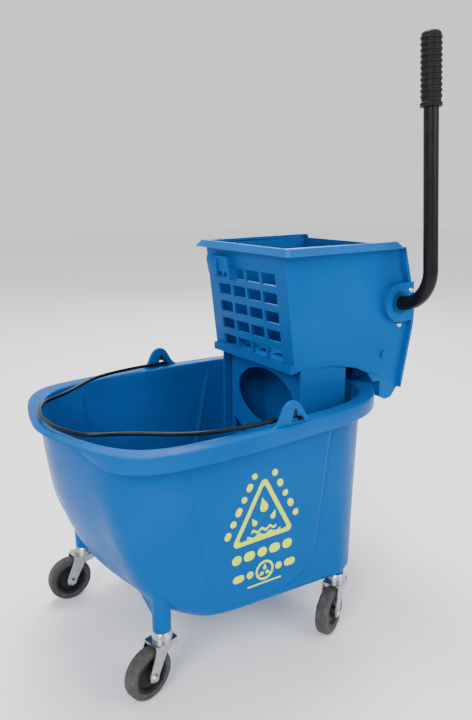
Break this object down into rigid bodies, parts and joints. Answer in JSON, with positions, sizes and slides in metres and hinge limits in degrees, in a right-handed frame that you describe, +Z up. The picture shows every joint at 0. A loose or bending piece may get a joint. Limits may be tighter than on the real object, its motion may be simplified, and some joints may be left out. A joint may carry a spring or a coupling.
{
  "type": "mop bucket with wringer",
  "caption": "Plastic mop bucket on swivel casters with a pouring bow, wire bail and a lift-off side-press wringer worked by a tall cranked lever.",
  "frame": {"origin": "floor level, under the centre of the overall box", "axes": "+Z up, -Y towards the pouring bow, +X towards the lever"},
  "size_m": [0.4371, 0.656, 0.9778],
  "materials": {
    "tub_blue": "moulded, satin",
    "wringer_blue": "moulded, satin",
    "press_blue": "moulded, satin",
    "bush_blue": "moulded",
    "zinc": "bright zinc plate",
    "bright_steel": "bright",
    "hub_black": "moulded",
    "tyre_grey": "non-marking rubber",
    "gear_dark": "moulded nylon",
    "tube_black": "semi-gloss black",
    "wire_black": "semi-gloss black",
    "grip_black": "ribbed rubber"
  },
  "bodies": {
    "tub": {"tub": "tub_blue", "caster_stem_front_near": "zinc", "caster_stem_front_far": "zinc", "caster_stem_rear_near": "zinc", "caster_stem_rear_far": "zinc"},
    "bail": {"bail_handle": "wire_black"},
    "fork_front_near": {"caster_race_front_near": "zinc", "caster_fork_front_near": "zinc", "caster_axle_front_near": "zinc"},
    "wheel_front_near": {"caster_hub_front_near": "hub_black", "caster_tyre_front_near": "tyre_grey"},
    "fork_front_far": {"caster_race_front_far": "zinc", "caster_fork_front_far": "zinc", "caster_axle_front_far": "zinc"},
    "wheel_front_far": {"caster_hub_front_far": "hub_black", "caster_tyre_front_far": "tyre_grey"},
    "fork_rear_near": {"caster_race_rear_near": "zinc", "caster_fork_rear_near": "zinc", "caster_axle_rear_near": "zinc"},
    "wheel_rear_near": {"caster_hub_rear_near": "hub_black", "caster_tyre_rear_near": "tyre_grey"},
    "fork_rear_far": {"caster_race_rear_far": "zinc", "caster_fork_rear_far": "zinc", "caster_axle_rear_far": "zinc"},
    "wheel_rear_far": {"caster_hub_rear_far": "hub_black", "caster_tyre_rear_far": "tyre_grey"},
    "wringer": {"wringer_hopper": "wringer_blue", "wringer_skirt": "wringer_blue", "hinge_rod": "zinc", "lever_bush_near": "bush_blue", "lever_bush_far": "bush_blue", "return_spring": "zinc", "side_screws": "bright_steel"},
    "lever": {"lever_tube": "tube_black", "lever_grip": "grip_black", "pinion_near": "gear_dark", "pinion_far": "gear_dark", "shaft_collar": "gear_dark"},
    "press": {"press_plate": "press_blue"}
  },
  "joints": [
    {"name": "swivel_front_near", "type": "hinge", "parent": "tub", "child": "fork_front_near", "pos_m": [0.149, -0.21, 0.085], "axis": [0, 0, 1], "continuous": true},
    {"name": "roll_front_near", "type": "hinge", "parent": "fork_front_near", "child": "wheel_front_near", "pos_m": [0.15497, -0.23807, 0.0381], "axis": [0.9781, 0.2079, 0], "continuous": true},
    {"name": "swivel_front_far", "type": "hinge", "parent": "tub", "child": "fork_front_far", "pos_m": [-0.149, -0.21, 0.085], "axis": [0, 0, 1], "continuous": true},
    {"name": "roll_front_far", "type": "hinge", "parent": "fork_front_far", "child": "wheel_front_far", "pos_m": [-0.151, -0.23863, 0.0381], "axis": [0.9976, -0.0698, 0], "continuous": true},
    {"name": "swivel_rear_near", "type": "hinge", "parent": "tub", "child": "fork_rear_near", "pos_m": [0.185, 0.106, 0.085], "axis": [0, 0, 1], "continuous": true},
    {"name": "roll_rear_near", "type": "hinge", "parent": "fork_rear_near", "child": "wheel_rear_near", "pos_m": [0.19713, 0.07999, 0.0381], "axis": [0.9063, 0.4226, 0], "continuous": true},
    {"name": "swivel_rear_far", "type": "hinge", "parent": "tub", "child": "fork_rear_far", "pos_m": [-0.185, 0.106, 0.085], "axis": [0, 0, 1], "continuous": true},
    {"name": "roll_rear_far", "type": "hinge", "parent": "fork_rear_far", "child": "wheel_rear_far", "pos_m": [-0.1825, 0.07741, 0.0381], "axis": [0.9962, 0.0872, 0], "continuous": true},
    {"name": "bail_swing", "type": "hinge", "parent": "tub", "child": "bail", "pos_m": [0, 0.002, 0.3975], "axis": [-1, 0, 0], "range_deg": [0, 92]},
    {"name": "wringer_lift", "type": "slide", "parent": "tub", "child": "wringer", "axis": [0, 0, 1], "range_m": [0, 0.18]},
    {"name": "lever_swing", "type": "hinge", "parent": "wringer", "child": "lever", "pos_m": [0, 0.289, 0.533], "axis": [-1, 0, 0], "range_deg": [0, 66], "stiffness_Nm_per_rad": 2.6, "springref_deg": -14.32},
    {"name": "press_swing", "type": "hinge", "parent": "wringer", "child": "press", "pos_m": [0, 0.262, 0.44088], "axis": [1, 0, 0], "range_deg": [0, 30.1]}
  ],
  "couplings": [
    {"joint": "press_swing", "follows": "lever_swing", "ratio": 0.45455}
  ]
}
